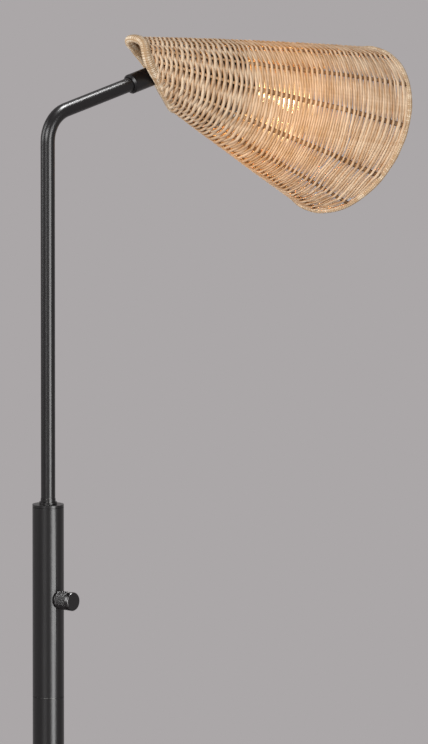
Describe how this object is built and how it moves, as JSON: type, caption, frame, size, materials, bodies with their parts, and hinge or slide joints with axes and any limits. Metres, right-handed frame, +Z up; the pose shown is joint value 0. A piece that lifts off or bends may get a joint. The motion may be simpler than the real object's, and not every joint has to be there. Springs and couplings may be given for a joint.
{
  "type": "floor lamp",
  "caption": "Free-standing floor lamp: weighted round base, jointed pole with a rotary switch, bent riser that swivels, and a tapered woven shade that tilts on a knuckle.",
  "frame": {"origin": "centre of the base's underside, on the floor", "axes": "+Z up along the pole, +X from the pole towards the shade, +Y to the left of that direction"},
  "size_m": [0.5262, 0.254, 1.4951],
  "materials": {
    "black_metal": "satin black powder coat on steel tube and turned fittings",
    "bare_steel": "plated fasteners, threaded tube and wire",
    "brass": "plain stamped brass",
    "cast_iron": "raw casting",
    "felt": "pressed felt",
    "black_plastic": "moulded, and the leads' sheath",
    "woven_rattan": "split rattan core, woven over stakes, natural",
    "pale_rattan": "wrapped rattan border, natural",
    "bulb_glass": "clear glass",
    "filament": "coated light-emitting filament"
  },
  "bodies": {
    "stand": {"base_felt": "felt", "base_weight": "cast_iron", "base_cover": "black_metal", "cord_bushing": "black_plastic", "base_washer": "bare_steel", "base_nut": "bare_steel", "base_nipple": "bare_steel", "foot_insert": "bare_steel", "lower_pole": "black_metal", "lower_coupler": "bare_steel", "middle_pole": "black_metal", "upper_coupler": "bare_steel", "switch_pole": "black_metal", "pole_cap": "black_metal", "swivel_flange": "black_metal", "riser_washer": "bare_steel", "switch_body": "black_plastic", "switch_bushing": "bare_steel", "switch_nut": "bare_steel", "pole_lead": "black_plastic"},
    "knob": {"switch_shaft": "bare_steel", "switch_knob": "black_metal", "knob_set_screw": "bare_steel"},
    "arm": {"riser_collar": "black_metal", "riser_nipple": "bare_steel", "riser_lock_nut": "bare_steel", "stop_pin": "bare_steel", "riser_tube": "black_metal", "arm_sleeve": "black_metal", "pivot_screw": "bare_steel", "pivot_nut": "bare_steel", "left_friction_washer": "brass", "right_friction_washer": "brass", "riser_lead": "black_plastic"},
    "shade": {"tilt_tongue": "black_metal", "socket_nipple": "bare_steel", "socket_nut": "bare_steel", "socket_cap": "black_metal", "socket_body": "black_plastic", "shade_ring": "black_plastic", "centre_contact": "brass", "screw_shell": "brass", "bulb_tip": "bare_steel", "bulb_base": "bare_steel", "bulb_glass": "bulb_glass", "bulb_stem": "bulb_glass", "filament_1": "filament", "filament_2": "filament", "filament_3": "filament", "filament_4": "filament", "shade_weave": "woven_rattan", "mouth_border": "pale_rattan", "mouth_hoop": "bare_steel", "rim_border": "pale_rattan", "rim_hoop": "bare_steel", "fitter_plate": "black_metal", "fitter_hoop": "bare_steel", "socket_lead": "black_plastic"}
  },
  "joints": [
    {"name": "switch_turn", "type": "hinge", "parent": "stand", "child": "knob", "pos_m": [0, 0, 1.0016], "axis": [0.0872, -0.9962, 0], "continuous": true},
    {"name": "riser_swivel", "type": "hinge", "parent": "stand", "child": "arm", "pos_m": [0, 0, 1.086], "axis": [0, 0, 1], "range_deg": [-160, 160]},
    {"name": "shade_tilt", "type": "hinge", "parent": "arm", "child": "shade", "pos_m": [0.14477, 0, 1.46157], "axis": [0, 1, 0], "range_deg": [-30, 12]}
  ]
}
